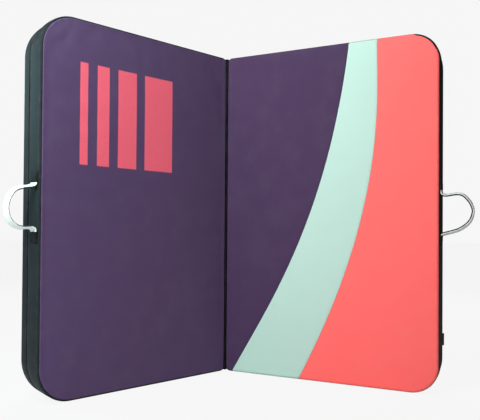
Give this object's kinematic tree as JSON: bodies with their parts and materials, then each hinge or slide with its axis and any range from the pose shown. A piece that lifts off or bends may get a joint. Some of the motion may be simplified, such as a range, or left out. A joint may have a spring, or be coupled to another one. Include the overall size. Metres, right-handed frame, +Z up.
{
  "type": "bouldering crash pad",
  "caption": "Folding bouldering crash pad standing open like a book: foam halves in sewn fabric covers, zipped walls, webbing grab handles, closure straps and a carry harness.",
  "frame": {"origin": "centre of the bounding box at the floor, below the standing pad and between its two halves", "axes": "+Z up; +X from the left outer wall to the right one; -Y is the side that both landing faces open towards"},
  "size_m": [1.247, 0.4813, 1.0057],
  "materials": {
    "plum_fabric": "matte",
    "mint_fabric": "matte",
    "coral_fabric": "matte",
    "wall_fabric": "matte",
    "ground_fabric": "matte",
    "zip": "satin",
    "zip_metal": "satin",
    "closed_cell_foam": "matte",
    "open_cell_foam": "matte",
    "pale_webbing": "matte",
    "black_webbing": "matte",
    "fold_tape": "matte",
    "padded_mesh": "matte",
    "buckle": "satin"
  },
  "bodies": {
    "left_half": {"left_landing_panel": "plum_fabric", "left_front_wall": "wall_fabric", "left_back_wall": "wall_fabric", "left_hinge_wall": "wall_fabric", "left_ground_panel": "ground_fabric", "left_zip": "zip", "left_top_foam": "closed_cell_foam", "left_core_foam": "open_cell_foam", "left_base_foam": "closed_cell_foam", "left_handle_upper_bend": "pale_webbing", "left_handle_lower_bend": "pale_webbing", "left_handle_upper_patch": "black_webbing", "left_handle_lower_patch": "black_webbing", "fold_tape": "fold_tape"},
    "right_half": {"right_plum_panel": "plum_fabric", "right_mint_panel": "mint_fabric", "right_coral_panel": "coral_fabric", "right_front_wall": "wall_fabric", "right_back_wall": "wall_fabric", "right_hinge_wall": "wall_fabric", "right_ground_panel": "ground_fabric", "right_zip": "zip", "right_top_foam": "closed_cell_foam", "right_core_foam": "open_cell_foam", "right_base_foam": "closed_cell_foam", "right_handle_upper_bend": "pale_webbing", "right_handle_lower_bend": "pale_webbing", "right_handle_upper_patch": "black_webbing", "right_handle_lower_patch": "black_webbing", "inner_shoulder_strap_top_bend": "padded_mesh", "inner_shoulder_strap_low_bend": "black_webbing", "outer_shoulder_strap_top_bend": "padded_mesh", "outer_shoulder_strap_low_bend": "black_webbing"},
    "left_slider": {"left_zip_slider": "zip_metal"},
    "left_puller": {"left_zip_puller": "zip_metal"},
    "right_slider": {"right_zip_slider": "zip_metal"},
    "right_puller": {"right_zip_puller": "zip_metal"},
    "left_handle": {"left_handle_loop": "pale_webbing", "left_handle_lining": "black_webbing"},
    "right_handle": {"right_handle_loop": "pale_webbing", "right_handle_lining": "black_webbing"},
    "closure_lower_strap": {"closure_lower_strap_web": "black_webbing", "closure_lower_strap_clip": "buckle"},
    "closure_upper_strap": {"closure_upper_strap_web": "black_webbing", "closure_upper_strap_clip": "buckle"},
    "closure_lower_tab": {"closure_lower_tab_web": "black_webbing", "closure_lower_tab_socket": "buckle"},
    "closure_upper_tab": {"closure_upper_tab_web": "black_webbing", "closure_upper_tab_socket": "buckle"},
    "hip_belt_outer": {"hip_belt_outer_web": "black_webbing", "hip_belt_outer_clip": "buckle"},
    "hip_belt_inner": {"hip_belt_inner_web": "black_webbing", "hip_belt_inner_socket": "buckle"},
    "inner_shoulder_strap": {"inner_shoulder_strap_pad": "padded_mesh", "inner_shoulder_strap_adjuster": "buckle", "inner_shoulder_strap_web": "black_webbing"},
    "outer_shoulder_strap": {"outer_shoulder_strap_pad": "padded_mesh", "outer_shoulder_strap_adjuster": "buckle", "outer_shoulder_strap_web": "black_webbing"}
  },
  "joints": [
    {"name": "fold", "type": "hinge", "parent": "left_half", "child": "right_half", "pos_m": [0, 0.15975, 0.5], "axis": [0, 0, 1], "range_deg": [-110, 68], "deforming": ["fold_tape"]},
    {"name": "left_handle_swing", "type": "hinge", "parent": "left_half", "child": "left_handle", "pos_m": [-0.54602, -0.18154, 0.5], "axis": [0, 0, 1], "range_deg": [-35, 35], "deforming": ["left_handle_upper_bend", "left_handle_lower_bend"]},
    {"name": "right_handle_swing", "type": "hinge", "parent": "right_half", "child": "right_handle", "pos_m": [0.54602, -0.18154, 0.5], "axis": [0, 0, -1], "range_deg": [-35, 35], "deforming": ["right_handle_upper_bend", "right_handle_lower_bend"]},
    {"name": "left_zip_slide", "type": "slide", "parent": "left_half", "child": "left_slider", "axis": [-0.8241, -0.5664, 0], "range_m": [0, 0.48]},
    {"name": "right_zip_slide", "type": "slide", "parent": "right_half", "child": "right_slider", "axis": [0.8241, -0.5664, 0], "range_m": [0, 0.48]},
    {"name": "left_puller_flip", "type": "hinge", "parent": "left_slider", "child": "left_puller", "pos_m": [-0.06922, 0.18984, 1.0034], "axis": [-0.5664, 0.8241, 0], "range_deg": [0, 175]},
    {"name": "right_puller_flip", "type": "hinge", "parent": "right_slider", "child": "right_puller", "pos_m": [0.06922, 0.18984, 1.0034], "axis": [-0.5664, -0.8241, 0], "range_deg": [0, 175]},
    {"name": "closure_lower_strap_swing", "type": "hinge", "parent": "left_half", "child": "closure_lower_strap", "pos_m": [-0.5483, -0.09295, 0.14], "axis": [0, 0, 1], "range_deg": [0, 165]},
    {"name": "closure_upper_strap_swing", "type": "hinge", "parent": "left_half", "child": "closure_upper_strap", "pos_m": [-0.5483, -0.09295, 0.86], "axis": [0, 0, 1], "range_deg": [0, 165]},
    {"name": "closure_lower_tab_swing", "type": "hinge", "parent": "right_half", "child": "closure_lower_tab", "pos_m": [0.54063, -0.08769, 0.14], "axis": [0, 0, 1], "range_deg": [0, 165]},
    {"name": "closure_upper_tab_swing", "type": "hinge", "parent": "right_half", "child": "closure_upper_tab", "pos_m": [0.53487, -0.08372, 0.86], "axis": [0, 0, 1], "range_deg": [0, 165]},
    {"name": "hip_belt_outer_swing", "type": "hinge", "parent": "right_half", "child": "hip_belt_outer", "pos_m": [0.48471, -0.04864, 0.2], "axis": [0, 0, -1], "range_deg": [0, 165]},
    {"name": "hip_belt_inner_swing", "type": "hinge", "parent": "right_half", "child": "hip_belt_inner", "pos_m": [0.15918, 0.17509, 0.2], "axis": [0, 0, 1], "range_deg": [0, 165]},
    {"name": "inner_shoulder_strap_swing", "type": "hinge", "parent": "right_half", "child": "inner_shoulder_strap", "pos_m": [0.23795, 0.11755, 0.8], "axis": [0, 0, 1], "range_deg": [-20, 20], "deforming": ["inner_shoulder_strap_top_bend", "inner_shoulder_strap_low_bend"]},
    {"name": "outer_shoulder_strap_swing", "type": "hinge", "parent": "right_half", "child": "outer_shoulder_strap", "pos_m": [0.40277, 0.00427, 0.8], "axis": [0, 0, 1], "range_deg": [-20, 20], "deforming": ["outer_shoulder_strap_top_bend", "outer_shoulder_strap_low_bend"]}
  ]
}
